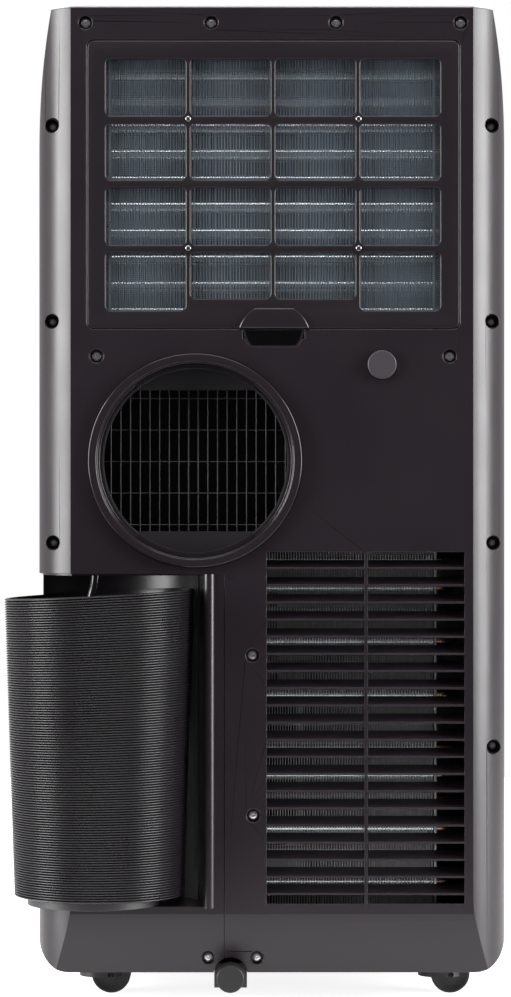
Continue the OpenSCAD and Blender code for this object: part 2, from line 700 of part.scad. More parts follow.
// ---- casters ----
module caster(x, y) translate([x, y, 0]) {
  difference() {
    union() {
      difference() {
        translate([0, 0, 12.5]) cylinder(r = 17, h = 20.5);
        for (s = [-1, 1]) block([trail - 15.1, min(s * 3.2, s * 9.6), 0], [trail + 30, max(s * 3.2, s * 9.6), 29.7]);
      }
      translate([trail, -3.2, 14.5]) rotate([-90, 0, 0]) cylinder(r = 5, h = 6.4);
    }
    translate([trail, -30, 14.5]) rotate([-90, 0, 0]) cylinder(r = 2.1, h = 60);
  }
  translate([0, 0, 32]) cylinder(r = 8, h = 3.8);
  translate([0, 0, 33]) cylinder(r = 4, h = 18);
}
module wheels(x, y) translate([x + trail, y, 14.5]) {
  for (s = [-1, 1]) translate([0, s > 0 ? 3.6 : -9.2, 0]) rotate([-90, 0, 0]) cylinder(r = wheel_r, h = 5.6);
  translate([0, -9.2, 0]) rotate([-90, 0, 0]) cylinder(r = 2, h = 18.4);
}
module caster_rear_left() place() color("#4b494c") caster(-caster_x, caster_y[0]);
module caster_rear_right() place() color("#4b494c") caster(caster_x, caster_y[0]);
module caster_front_left() place() color("#4b494c") caster(-caster_x, caster_y[1]);
module caster_front_right() place() color("#4b494c") caster(caster_x, caster_y[1]);
module wheels_rear_left() place() color("#565457") wheels(-caster_x, caster_y[0]);
module wheels_rear_right() place() color("#565457") wheels(caster_x, caster_y[0]);
module wheels_front_left() place() color("#565457") wheels(-caster_x, caster_y[1]);
module wheels_front_right() place() color("#565457") wheels(caster_x, caster_y[1]);

// ---- mains lead ----
module cord_gland() place() color("#1a1a1b") translate([-130, 25, 0]) {
  translate([0, 0, 333.5]) cylinder(r = 9, h = 2.5);
  translate([0, 0, 331]) cylinder(r = 5.8, h = 3);
  translate([0, 0, 314.5]) rotate_extrude($fn = 48) polygon([[0, 0], [4.2, 0], [5.6, 16.5], [0, 16.5]]);
}
function unit(v) = v / norm(v);
function tangent(p, i) = unit(p[min(i + 1, len(p) - 1)] - p[max(i - 1, 0)]);
module sweep(p, r, n) {
  m = len(p);
  pts = [for (i = [0 : m - 1]) let (t = i == 0 ? [0, 0, -1] : tangent(p, i), u = unit(cross(t, [1, 0, 0])), v = cross(t, u))
    for (k = [0 : n - 1]) p[i] + r * (u * cos(360 * k / n) + v * sin(360 * k / n))];
  sides = [for (i = [0 : m - 2], k = [0 : n - 1]) [i * n + k, i * n + (k + 1) % n, (i + 1) * n + (k + 1) % n, (i + 1) * n + k]];
  polyhedron(pts, concat([[for (k = [n - 1 : -1 : 0]) k]], sides, [[for (k = [0 : n - 1]) (m - 1) * n + k]]), convexity = 6);
}
module power_cord() place() color("#101011") sweep(route, cord_d / 2, 8);
module cord_coil() place() color("#101011") translate([hx, hy, hz]) rotate_extrude($fn = 64)
  polygon([[coil_r - cord_d, 0], [coil_r + cord_d, 0], [coil_r + cord_d, coil_rows * cord_d], [coil_r - cord_d, coil_rows * cord_d]]);
// round plug that lies on the coil, pins up
module power_plug() place() color("#141415") translate([-130.2, -19.2, hz + coil_rows * cord_d]) {
  cylinder(r = 15, h = 16);
  translate([26, 15, 7.4]) rotate([0, 0, 210]) rotate([0, 90, 0]) cylinder(r = 4.5, h = 20);
  rotate([0, 0, 30]) for (y = [-7, 7]) translate([0, y, 15]) cylinder(r = 2.4, h = 19);
}

rear_cover();
hose_bay();
front_cover();
top_cover();
base_pan();
casing_screws();
duct_collar();
exhaust_guard();
hose_shelf();
exhaust_hose();
evaporator_fins();
evaporator_tubes();
evaporator_plates();
condenser_fins();
condenser_tubes();
condenser_plates();
drain_tray();
evaporator_scroll();
evaporator_motor();
exhaust_scroll();
exhaust_motor();
compressor();
compressor_feet();
accumulator();
refrigerant_pipes();
control_box();
run_capacitor();
control_panel();
outlet_duct();
side_handles();
splash_motor();
drain_spout();
upper_drain_spout();
cord_gland();
power_cord();
cord_coil();
power_plug();
filter_frame();
filter_mesh();
filter_studs();
evaporator_fan();
exhaust_fan();
splash_wheel();
upper_drain_plug();
drain_seal();
drain_cap();
outlet_louvre();
caster_rear_left();
caster_rear_right();
caster_front_left();
caster_front_right();
wheels_rear_left();
wheels_rear_right();
wheels_front_left();
wheels_front_right();
button_power();
button_mode();
button_up();
button_down();
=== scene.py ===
"""Looks of a portable air conditioner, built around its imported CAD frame. Metres."""

import bpy
import bmesh
import math
import random
from mathutils import Vector, Matrix
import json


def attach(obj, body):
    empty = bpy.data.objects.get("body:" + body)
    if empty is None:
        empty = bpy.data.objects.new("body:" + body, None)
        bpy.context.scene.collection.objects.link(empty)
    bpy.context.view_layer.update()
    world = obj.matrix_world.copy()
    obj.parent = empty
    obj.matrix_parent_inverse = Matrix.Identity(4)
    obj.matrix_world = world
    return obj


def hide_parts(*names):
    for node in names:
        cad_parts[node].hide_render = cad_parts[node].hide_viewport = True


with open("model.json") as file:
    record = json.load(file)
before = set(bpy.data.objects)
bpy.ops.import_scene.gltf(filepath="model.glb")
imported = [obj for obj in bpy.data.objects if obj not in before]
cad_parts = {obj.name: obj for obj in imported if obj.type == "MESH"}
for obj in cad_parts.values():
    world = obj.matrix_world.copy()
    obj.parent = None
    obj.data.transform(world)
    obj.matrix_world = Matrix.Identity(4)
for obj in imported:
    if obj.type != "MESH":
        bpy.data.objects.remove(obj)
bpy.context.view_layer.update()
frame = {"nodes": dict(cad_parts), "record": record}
NODES = frame["nodes"]
OX, OY = 0.01209, -0.1401          # body coordinates to the row frame
PI = math.pi
MM = 0.001


def P(x, y, z):
    """body coordinates in millimetres to the row frame in metres"""
    return Vector((x * MM + OX, y * MM + OY, z * MM))


scene = bpy.context.scene
scene.view_settings.view_transform = "Standard"
scene.view_settings.look = "None"

# ------------------------------------------------------------------ camera
cam_data = bpy.data.cameras.new("camera")
cam = bpy.data.objects.new("camera", cam_data)
scene.collection.objects.link(cam)
cam.location = (0.0, -2.5401, 0.3683)
cam.rotation_euler = (PI / 2, 0, 0)
cam_data.sensor_fit = "VERTICAL"
cam_data.sensor_height = 24
cam_data.lens = 79.1
cam_data.clip_end = 50
scene.camera = cam


# --------------------------------------------------------------- materials
def new_mat(name):
    m = bpy.data.materials.new(name)
    m.use_nodes = True
    nt = m.node_tree
    b = nt.nodes["Principled BSDF"]
    return m, nt, b


def srgb(r, g, b):
    def f(c):
        c = c / 255
        return c / 12.92 if c <= 0.04045 else ((c + 0.055) / 1.055) ** 2.4
    return (f(r), f(g), f(b), 1)


def surface(name, color, rough, metal=0.0, spec=0.5, grain=0.0, grain_scale=2500, var=0.0, var_scale=18,
            tint=0.0, coat=0.0, coat_rough=0.1, sheen=0.0, stretch=None, brushed=False):
    """a finish with a fine moulded grain, uneven gloss and a slight unevenness of colour"""
    m, nt, b = new_mat(name)
    N, L = nt.nodes, nt.links
    b.inputs["Base Color"].default_value = color
    b.inputs["Roughness"].default_value = rough
    b.inputs["Metallic"].default_value = metal
    b.inputs["Specular IOR Level"].default_value = spec
    b.inputs["Coat Weight"].default_value = coat
    b.inputs["Coat Roughness"].default_value = coat_rough
    b.inputs["Sheen Weight"].default_value = sheen
    tc = N.new("ShaderNodeTexCoord")
    mp = N.new("ShaderNodeMapping")
    if stretch:
        mp.inputs["Scale"].default_value = stretch
    L.new(tc.outputs["Object"], mp.inputs["Vector"])
    if grain > 0:
        n = N.new("ShaderNodeTexNoise")
        n.inputs["Scale"].default_value = grain_scale
        n.inputs["Detail"].default_value = 2
        L.new(mp.outputs["Vector"], n.inputs["Vector"])
        bp = N.new("ShaderNodeBump")
        bp.inputs["Strength"].default_value = grain
        bp.inputs["Distance"].default_value = 0.00012
        L.new(n.outputs["Fac"], bp.inputs["Height"])
        L.new(bp.outputs["Normal"], b.inputs["Normal"])
    if var > 0:
        n2 = N.new("ShaderNodeTexNoise")
        n2.inputs["Scale"].default_value = var_scale
        n2.inputs["Detail"].default_value = 4
        L.new(mp.outputs["Vector"], n2.inputs["Vector"])
        mr = N.new("ShaderNodeMapRange")
        mr.inputs["From Min"].default_value = 0.3
        mr.inputs["From Max"].default_value = 0.7
        mr.inputs["To Min"].default_value = max(0.02, rough - var)
        mr.inputs["To Max"].default_value = rough + var
        L.new(n2.outputs["Fac"], mr.inputs["Value"])
        L.new(mr.outputs["Result"], b.inputs["Roughness"])
    if tint > 0:
        n3 = N.new("ShaderNodeTexNoise")
        n3.inputs["Scale"].default_value = var_scale * 2.3
        n3.inputs["Detail"].default_value = 3
        L.new(mp.outputs["Vector"], n3.inputs["Vector"])
        cr = N.new("ShaderNodeValToRGB")
        cr.color_ramp.elements[0].position = 0.3
        cr.color_ramp.elements[1].position = 0.7
        cr.color_ramp.elements[0].color = tuple(c * (1 - tint) for c in color[:3]) + (1,)
        cr.color_ramp.elements[1].color = tuple(min(1, c * (1 + tint)) for c in color[:3]) + (1,)
        L.new(n3.outputs["Fac"], cr.inputs["Fac"])
        L.new(cr.outputs["Color"], b.inputs["Base Color"])
    return m


M = {}
M["rear"] = surface("rear_plastic", srgb(27, 21, 26), 0.34, spec=0.5, grain=0.10, var=0.03, tint=0.03)
M["bay"] = surface("bay_plastic", srgb(27, 21, 26), 0.32, spec=0.5, grain=0.10, var=0.03, tint=0.03)
M["collar"] = surface("collar_plastic", srgb(30, 25, 29), 0.24, spec=0.5, grain=0.10, var=0.03)
M["white"] = surface("white_plastic", srgb(228, 228, 229), 0.32, spec=0.5, grain=0.10, var=0.03)
M["panel"] = surface("panel_gloss", srgb(14, 14, 16), 0.08, spec=0.5, var=0.02, coat=0.4, coat_rough=0.04)
M["button"] = surface("button_plastic", srgb(196, 199, 202), 0.45, grain=0.2)
M["pan"] = surface("pan_plastic", srgb(44, 42, 45), 0.55, grain=0.3, var=0.05)
M["screw"] = surface("screw_metal", srgb(215, 212, 215), 0.34, metal=1.0, grain=0.15, var=0.08, var_scale=300)
M["guard"] = surface("guard_plastic", srgb(44, 41, 44), 0.42, grain=0.2)
M["hose"] = surface("hose_plastic", srgb(26, 23, 26), 0.30, spec=0.5, grain=0.06, var=0.04, var_scale=40)
M["fin"] = surface("fin_aluminium", (0.95, 0.92, 0.94, 1), 0.40, metal=0.15, var=0.06, var_scale=120, tint=0.12)
M["fin_blue"] = surface("fin_coated", (0.36, 0.43, 0.48, 1), 0.42, metal=0.3, var=0.06, var_scale=120, tint=0.12)
M["collars"] = surface("fin_collars", (0.80, 0.86, 0.88, 1), 0.16, metal=1.0, var=0.05, var_scale=200)
M["copper"] = surface("copper", (0.42, 0.25, 0.17, 1), 0.30, metal=1.0, var=0.08, var_scale=90, tint=0.10)
M["sheet"] = surface("sheet_metal", (0.60, 0.62, 0.63, 1), 0.34, metal=1.0, var=0.10, var_scale=60, tint=0.06)
M["foam"] = surface("tray_foam", srgb(200, 202, 203), 0.6, grain=0.4, grain_scale=900)
M["duct"] = surface("duct_plastic", srgb(52, 50, 52), 0.6, grain=0.2)
M["motor"] = surface("motor_metal", (0.52, 0.53, 0.54, 1), 0.32, metal=1.0, var=0.08, var_scale=80)
M["enamel"] = surface("compressor_paint", srgb(26, 26, 28), 0.22, coat=0.5, var=0.04)
M["rubber"] = surface("rubber_black", srgb(24, 24, 24), 0.62, grain=0.35)
M["can"] = surface("capacitor_shell", (0.72, 0.71, 0.68, 1), 0.30, metal=1.0, var=0.06)
M["spout"] = surface("spout_plastic", srgb(44, 42, 45), 0.45, grain=0.2)
M["cord"] = surface("cord_pvc", srgb(17, 17, 18), 0.16, spec=0.5, grain=0.05, grain_scale=900, var=0.03)
M["plug"] = surface("plug_pvc", srgb(22, 22, 23), 0.28, grain=0.2)
M["pin"] = surface("plug_pin", (0.75, 0.66, 0.42, 1), 0.2, metal=1.0)
M["filter"] = surface("filter_plastic", srgb(26, 21, 25), 0.34, spec=0.5, grain=0.12, var=0.03)
M["net"] = surface("filter_net", srgb(106, 115, 124), 0.45, spec=0.5, tint=0.08)
M["stud"] = surface("stud_metal", (0.30, 0.30, 0.31, 1), 0.22, metal=1.0)
M["fan"] = surface("fan_plastic", srgb(34, 34, 36), 0.42, grain=0.2)
M["drainplug"] = surface("drain_plug_rubber", srgb(58, 52, 57), 0.5, grain=0.3)
M["cap"] = surface("cap_plastic", srgb(20, 19, 21), 0.42, grain=0.2)
M["caster"] = surface("caster_plastic", srgb(9, 8, 9), 0.45, grain=0.2)
M["wheel"] = surface("wheel_plastic", srgb(24, 23, 24), 0.48, grain=0.3, tint=0.04)
M["shelf"] = surface("shelf_plastic", srgb(44, 41, 44), 0.42, grain=0.15)

NODE_MAT = {
    "rear_cover": "rear", "duct_collar": "collar", "hose_bay": "bay", "hose_shelf": "shelf",
    "front_cover": "white", "top_cover": "white", "side_handles": "white", "outlet_louvre": "white",
    "control_panel": "panel", "button_power": "button", "button_mode": "button", "button_up": "button",
    "button_down": "button", "base_pan": "pan", "casing_screws": "screw", "exhaust_guard": "guard",
    "exhaust_hose": "hose", "evaporator_fins": "fin_blue", "condenser_fins": "fin", "evaporator_tubes": "copper",
    "condenser_tubes": "copper", "refrigerant_pipes": "copper", "evaporator_plates": "sheet",
    "condenser_plates": "sheet", "control_box": "sheet", "drain_tray": "foam", "evaporator_scroll": "duct",
    "exhaust_scroll": "duct", "outlet_duct": "white", "evaporator_motor": "motor", "exhaust_motor": "motor",
    "splash_motor": "motor", "compressor": "enamel", "accumulator": "enamel", "compressor_feet": "rubber",
    "run_capacitor": "can", "drain_spout": "spout", "upper_drain_spout": "spout", "cord_gland": "rubber",
    "power_cord": "cord", "cord_coil": "cord", "power_plug": "plug", "filter_frame": "filter",
    "filter_mesh": "net", "filter_studs": "stud", "evaporator_fan": "fan", "exhaust_fan": "fan",
    "splash_wheel": "fan", "upper_drain_plug": "drainplug", "drain_seal": "rubber", "drain_cap": "cap",
    "caster_rear_left": "caster", "caster_rear_right": "caster", "caster_front_left": "caster",
    "caster_front_right": "caster", "wheels_rear_left": "wheel", "wheels_rear_right": "wheel",
    "wheels_front_left": "wheel", "wheels_front_right": "wheel",
}
BODY = {}
for _b, _l in frame["record"]["behaviour"]["bodies"].items():
    for _n in _l:
        BODY[_n] = _b


def dress(o, mat):
    o.data.materials.clear()
    o.data.materials.append(M[mat] if isinstance(mat, str) else mat)


for _n, _o in NODES.items():
    dress(_o, NODE_MAT[_n])


# ------------------------------------------------------------------ helpers
def link(o):
    scene.collection.objects.link(o)
    return o


def settle(o, node, mat=None, replace=True, body=None):
    """dresses a piece, lets it stand for a CAD node and rides it on that node's body"""
    dress(o, mat or NODE_MAT[node])
    if replace:
        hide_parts(node)
    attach(o, body or BODY[node])
    return o


def smooth_sharp(mesh, deg):
    bm = bmesh.new()
    bm.from_mesh(mesh)
    lim = math.radians(deg)
    for f in bm.faces:
        f.smooth = True
    for e in bm.edges:
        e.smooth = len(e.link_faces) == 2 and e.calc_face_angle(0) < lim
    bm.to_mesh(mesh)
    bm.free()


def apply_mods(o):
    dg = bpy.context.evaluated_depsgraph_get()
    me = bpy.data.meshes.new_from_object(o.evaluated_get(dg), preserve_all_data_layers=True, depsgraph=dg)
    old = o.data
    o.modifiers.clear()
    o.data = me
    bpy.data.meshes.remove(old)


def flatten_normals(me, planes):
    """faces that lie in one of these planes shade as that plane; planes of (axis, place in metres, sign)"""
    normals = [Vector(n.vector) for n in me.corner_normals]
    co = [v.co for v in me.vertices]
    for f in me.polygons:
        for ax, at, sign in planes:
            if abs(f.normal[ax]) > 0.985 and all(abs(co[v][ax] - at) < 4.5e-4 for v in f.vertices):
                n = Vector((0, 0, 0))
                n[ax] = sign
                for li in f.loop_indices:
                    normals[li] = n
    me.normals_split_custom_set([tuple(n) for n in normals])


def refine(node, width, angle=30, segs=2, sharp=20, weighted=True, tidy=True, mat=None, edit=None, clean=0.4,
           clamp=True, flat=None):
    """copies a CAD node, rounds its edges and smooths what is curved"""
    me = NODES[node].data.copy()
    me.name = node + "_shape"
    bm = bmesh.new()
    bm.from_mesh(me)
    bmesh.ops.remove_doubles(bm, verts=bm.verts, dist=2e-6)
    if edit:
        edit(bm)
    if tidy:
        bmesh.ops.dissolve_limit(bm, angle_limit=math.radians(clean), use_dissolve_boundaries=False,
                                 verts=bm.verts, edges=bm.edges)
    for f in bm.faces:
        f.smooth = True
    bm.to_mesh(me)
    bm.free()
    o = link(bpy.data.objects.new(node + "_look", me))
    smooth_sharp(me, sharp)
    if width:
        b = o.modifiers.new("edge", "BEVEL")
        b.width = width * MM
        b.segments = segs
        b.limit_method = "ANGLE"
        b.angle_limit = math.radians(angle)
        b.use_clamp_overlap = clamp
        b.harden_normals = False
        b.miter_outer = "MITER_ARC"
    if weighted:
        w = o.modifiers.new("weight", "WEIGHTED_NORMAL")
        w.keep_sharp = True
        w.weight = 60
    apply_mods(o)
    if flat:
        flatten_normals(o.data, flat)
    settle(o, node, mat)
    return o


def mesh_obj(name, verts, faces, smooth=None):
    me = bpy.data.meshes.new(name)
    me.from_pydata([tuple(v) for v in verts], [], faces)
    me.update()
    o = link(bpy.data.objects.new(name, me))
    if smooth is not None:
        smooth_sharp(me, smooth)
    return o


class Build:
    """collects boxes, cylinders and rings in body millimetres into one mesh"""

    def __init__(self):
        self.v, self.f = [], []

    def add(self, vs, fs):
        n = len(self.v)
        self.v += vs
        self.f += [tuple(i + n for i in f) for f in fs]

    def box(self, a, b):
        vs = [P(x, y, z) for x in (a[0], b[0]) for y in (a[1], b[1]) for z in (a[2], b[2])]
        self.add(vs, [(0, 1, 3, 2), (4, 6, 7, 5), (0, 4, 5, 1), (2, 3, 7, 6), (0, 2, 6, 4), (1, 5, 7, 3)])

    def rod(self, p, q, r, n=8):
        p, q = P(*p), P(*q)
        d = (q - p).normalized()
        u = d.orthogonal().normalized()
        w = d.cross(u)
        vs = []
        for c in (p, q):
            for k in range(n):
                a = 2 * PI * k / n
                vs.append(c + (u * math.cos(a) + w * math.sin(a)) * r * MM)
        fs = [(k, (k + 1) % n, n + (k + 1) % n, n + k) for k in range(n)]
        fs += [tuple(range(n - 1, -1, -1)), tuple(range(n, 2 * n))]
        self.add(vs, fs)

    def lathe(self, centre, axis, profile, n=64, closed=True, a0=0.0, a1=360.0, up=None):
        """profile of (along, radius) points turned about the axis; closed joins its last point to its first"""
        c = P(*centre)
        d = Vector(axis).normalized()
        u = Vector(up).normalized() if up else d.orthogonal().normalized()
        w = d.cross(u)
        full = abs(a1 - a0) >= 359.9
        m = n if full else n + 1
        vs = []
        for k in range(m):
            a = math.radians(a0 + (a1 - a0) * k / n)
            e = u * math.cos(a) + w * math.sin(a)
            for t, r in profile:
                vs.append(c + d * t * MM + e * r * MM)
        q = len(profile)
        fs = []
        last = q if closed else q - 1
        for k in range(n):
            k2 = (k + 1) % m
            for i in range(last):
                j = (i + 1) % q
                fs.append((k * q + i, k * q + j, k2 * q + j, k2 * q + i))
        if not full and closed:
            fs.append(tuple(range(q - 1, -1, -1)))
            fs.append(tuple((m - 1) * q + i for i in range(q)))
        self.add(vs, fs)

    def make(self, name, smooth=30, fix=True):
        o = mesh_obj(name, self.v, self.f)
        bm = bmesh.new()
        bm.from_mesh(o.data)
        bmesh.ops.remove_doubles(bm, verts=bm.verts, dist=1e-7)
        bmesh.ops.recalc_face_normals(bm, faces=bm.faces)
        bm.to_mesh(o.data)
        bm.free()
        smooth_sharp(o.data, smooth)
        return o


def rounded_profile(pts, r, n=3):
    """rounds every corner of a closed profile of (t, r) points by r"""
    out = []
    m = len(pts)
    for i in range(m):
        a, b, c = Vector(pts[i - 1]), Vector(pts[i]), Vector(pts[(i + 1) % m])
        u, v = (a - b), (c - b)
        k = min(r, u.length * 0.45, v.length * 0.45)
        u, v = u.normalized() * k, v.normalized() * k
        for j in range(n + 1):
            t = j / n
            out.append(tuple(b + u * (1 - t) ** 2 + v * t ** 2))
    return out


# ------------------------------------------------------------------ mains lead
ROUTE = [[-130, 25, 314.5], [-130.6, 25, 306], [-133, 24, 296], [-137, 23, 280],
         [-142, 22, 262], [-147, 20, 243], [-152, 18, 224], [-157, 15, 205], [-161, 12, 187],
         [-164, 8, 169], [-166, 5, 152], [-166.7, 4, 139], [-167, 4.6, 128.4], [-167, 7.5, 118.8],
         [-166.8, 13, 111.4], [-166.4, 21, 107.2], [-165.6, 30.4, 106], [-161.6, 40, 106]]
HX, HY, HZ = -127, 20, 77


def ring(theta, r, z):
    a = math.radians(theta)
    return [HX + r * math.cos(a), HY + r * math.sin(a), z]


pts = [list(p) for p in ROUTE]
# down from the top of the coil into its outer column, three turns down, then three turns up inside
steps = 15
for i in range(1, 10):
    t = i / 9
    s = t * t * (3 - 2 * t)
    pts.append(ring(150 - 150 * t, 40 + 3.2 * s, 106 - 6.6 * s))
for i in range(1, 3 * steps + 1):
    pts.append(ring(-360 * i / steps, 43.2, 99.4 - 19.2 * i / (3 * steps)))
for i in range(1, 7):
    t = i / 6
    s = t * t * (3 - 2 * t)
    pts.append(ring(-100 * t, 43.2 - 6.4 * s, 80.2))
end_turn = 3 * 360 - 40
n_in = int(3 * steps)
for i in range(1, n_in + 1):
    pts.append(ring(-100 - end_turn * i / n_in * 0.93, 36.8, 80.2 + 19.2 * i / n_in))
last_a = -100 - end_turn * 0.93
# out of the coil's top and into the plug
tail = [-130.2 + 26, -19.2 + 15, HZ + 25.6 + 7.4]
tail_a = math.degrees(math.atan2(tail[1] - HY, tail[0] - HX))
tail_r = math.hypot(tail[1] - HY, tail[0] - HX)
while tail_a > last_a:
    tail_a -= 360
gap = last_a - tail_a
for i in range(1, 7):
    t = i / 7
    s = t * t * (3 - 2 * t)
    pts.append(ring(last_a - gap * t, 36.8 + (tail_r - 36.8) * s, 99.4 + (tail[2] - 99.4) * s))
pts.append(tail)
pts.append([tail[0] - 0.866 * 4, tail[1] - 0.5 * 4, tail[2]])

curve = bpy.data.curves.new("mains_lead", "CURVE")
curve.dimensions = "3D"
sp = curve.splines.new("POLY")


def catmull(p, n=4):
    out = []
    for i in range(len(p) - 1):
        p0 = Vector(p[max(i - 1, 0)])
        p1, p2 = Vector(p[i]), Vector(p[i + 1])
        p3 = Vector(p[min(i + 2, len(p) - 1)])
        for k in range(n):
            t = k / n
            out.append(0.5 * ((2 * p1) + (p2 - p0) * t + (2 * p0 - 5 * p1 + 4 * p2 - p3) * t * t
                              + (3 * p1 - p0 - 3 * p2 + p3) * t ** 3))
    out.append(Vector(p[-1]))
    return out


fine = catmull(pts, 3)
sp.points.add(len(fine) - 1)
for i, p in enumerate(fine):
    sp.points[i].co = (*P(*p), 1)
curve.bevel_depth = 3.2 * MM
curve.bevel_resolution = 4
curve.use_fill_caps = True
lead = link(bpy.data.objects.new("mains_lead", curve))
curve.materials.append(M["cord"])
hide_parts("power_cord", "cord_coil")
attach(lead, "root")

# strain relief where the lead leaves the casing: a ribbed taper under a collar
g = Build()
prof = [(0, 0.2), (0, 9), (-2.5, 9)]
z, k = -5, 0
prof += [(-5, 5.8)]
for i in range(7):
    r = 5.6 - 1.3 * i / 7
    prof += [(-5.2 - i * 2.25, r), (-6.5 - i * 2.25, r - 0.05), (-6.7 - i * 2.25, r - 0.9), (-7.3 - i * 2.25, r - 0.9)]
prof += [(-21.5, 4.0), (-21.5, 0.2)]
g.lathe((-130, 25, 336), (0, 0, 1), prof, n=40)
gland = g.make("strain_relief", 40)
settle(gland, "cord_gland")

# plug: round moulded body with a flared rim, finger grooves, two pins and a tapered tail
PX, PY, PZ = -130.2, -19.2, HZ + 25.6
g = Build()
prof = rounded_profile([(0.2, 0.3), (0.2, 13.0), (5, 12.2), (11.5, 13.6), (13, 14.8), (15.9, 14.8), (15.9, 0.3)], 1.0, 4)
g.lathe((PX, PY, PZ), (0, 0, 1), prof, n=56)
g.lathe((PX, PY, PZ + 5.2), (0, 0, 1), [(0, 12.0), (0, 13.2), (1.2, 13.2), (1.2, 12.0)], n=56)
g.lathe((PX, PY, PZ + 8.0), (0, 0, 1), [(0, 12.2), (0, 13.5), (1.2, 13.5), (1.2, 12.2)], n=56)
d = (-0.866, -0.5, 0)
prof = [(0, 0.3), (0, 3.6)]
for i in range(6):
    prof += [(0.4 + i * 2.4, 3.7 + 0.12 * i), (1.7 + i * 2.4, 3.8 + 0.12 * i), (1.8 + i * 2.4, 3.35), (2.3 + i * 2.4, 3.35)]
prof += [(16, 4.4), (20, 4.45), (20, 0.3)]
g.lathe((PX + 26, PY + 15, PZ + 7.4), d, prof, n=28)
plug = g.make("mains_plug", 32)
settle(plug, "power_plug")
g = Build()
ca, sa = math.cos(PI / 6), math.sin(PI / 6)
for y in (-7, 7):
    g.lathe((PX - sa * y, PY + ca * y, PZ), (0, 0, 1), [(15.2, 0.1), (15.2, 2.35), (32.6, 2.35), (33.6, 1.7), (33.9, 0.1)], n=24)
pins = g.make("mains_plug_pins", 40)
dress(pins, "pin")
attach(pins, "root")

# ------------------------------------------------------------------ casing
refine("rear_cover", 0.35, angle=28, sharp=21, tidy=False, clamp=False, flat=[(1, OY, -1)])
refine("hose_bay", 0.45, angle=28, sharp=21, flat=[(1, OY, -1)])
refine("front_cover", 0.6, angle=28, sharp=21)
refine("top_cover", 2.2, angle=50, segs=4, sharp=24)
refine("control_panel", 0.4, angle=40)
refine("base_pan", 0.5, angle=30, sharp=25)
refine("side_handles", 0.5)
refine("outlet_louvre", 0.5, sharp=35)
for n in ("button_power", "button_mode", "button_up", "button_down"):
    refine(n, 0.45, segs=3, sharp=35)
refine("hose_shelf", 1.6, angle=40, segs=4, sharp=30)
refine("drain_cap", 0.8, angle=40, segs=3, sharp=35)
refine("upper_drain_plug", 0.8, angle=40, segs=3, sharp=35)
refine("drain_spout", 0.3, sharp=35)
for n in ("caster_rear_left", "caster_rear_right", "caster_front_left", "caster_front_right"):
    refine(n, 0.6, angle=35, segs=3, sharp=35)

# ------------------------------------------------------------------ screws
SIDE_Y, SIDE_R, HW, CREASE = 40, 44.1, 172.5, 147


def surf(x):
    return 0 if abs(x) <= CREASE else SIDE_Y - math.sqrt(SIDE_R ** 2 - (abs(x) - HW + SIDE_R) ** 2)


FLAT = [(-136.3, 716), (-44.5, 716), (46.7, 716), (137.8, 716), (-128.2, 472.4), (129.9, 472.4), (-14.2, 253.7),
        (-13.6, 136.7), (-11.2, 32.2), (-46.7, 32.3)]
SIDES = [(161.3, 642), (161.5, 498.3), (162.4, 335.8), (162.6, 186), (-161.3, 642), (-161.5, 498.3), (-160.6, 335.8)]
random.seed(4)
g = Build()
for x, z in FLAT + SIDES:
    d = (11.5 if abs(x) > CREASE else 4.8) + (5.5 if z < 60 else 0)
    y = surf(x) + d
    turn = random.uniform(0, 90)
    ta = math.radians(turn)
    # pan head as a shallow dome with a cross recess between four quarters
    n = 40
    rings = [(0.0, 3.7), (-1.3, 3.7), (-1.9, 3.4), (-2.4, 2.7), (-2.75, 1.7)]
    g.lathe((x, y, z), (0, 1, 0), [(0, 0.05)] + rings + [(-2.8, 1.3), (-1.6, 0.9), (-1.5, 0.05)], n=n)
    for q in range(4):
        a = ta + q * PI / 2
        ux, uz = math.cos(a), math.sin(a)
        vx, vz = -uz, ux
        c = (x + 1.45 * ux, z + 1.45 * uz)
        # ribs of the recess
        vs = []
        for (s, t, dy) in ((-0.7, -0.28, -2.83), (0.95, -0.28, -2.5), (0.95, 0.28, -2.5), (-0.7, 0.28, -2.83),
                           (-0.7, -0.28, -1.4), (0.95, -0.28, -1.4), (0.95, 0.28, -1.4), (-0.7, 0.28, -1.4)):
            b = a + PI / 4
            vs.append(P(x + (1.5 + s) * math.cos(b) - t * math.sin(b), y + dy, z + (1.5 + s) * math.sin(b) + t * math.cos(b)))
        g.add(vs, [(0, 1, 2, 3), (4, 7, 6, 5), (0, 4, 5, 1), (1, 5, 6, 2), (2, 6, 7, 3), (3, 7, 4, 0)])
    g.rod((x, y - 0.5, z), (x, y + 7, z), 1.9, 12)
screws = g.make("casing_screw_heads", 35)
settle(screws, "casing_screws")
# ring round each screw cup
g = Build()
for x, z in FLAT + SIDES:
    s0 = surf(x) + (5.5 if z < 60 else 0)
    if abs(x) > CREASE:
        s0 += 2.6
    g.lathe((x, s0, z), (0, 1, 0), rounded_profile([(0.05, 4.75), (0.05, 5.7), (9, 5.7), (9, 4.75)], 0.35, 3), n=48)
rings_ = g.make("screw_cup_liners", 40)
dress(rings_, "collar")
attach(rings_, "root")

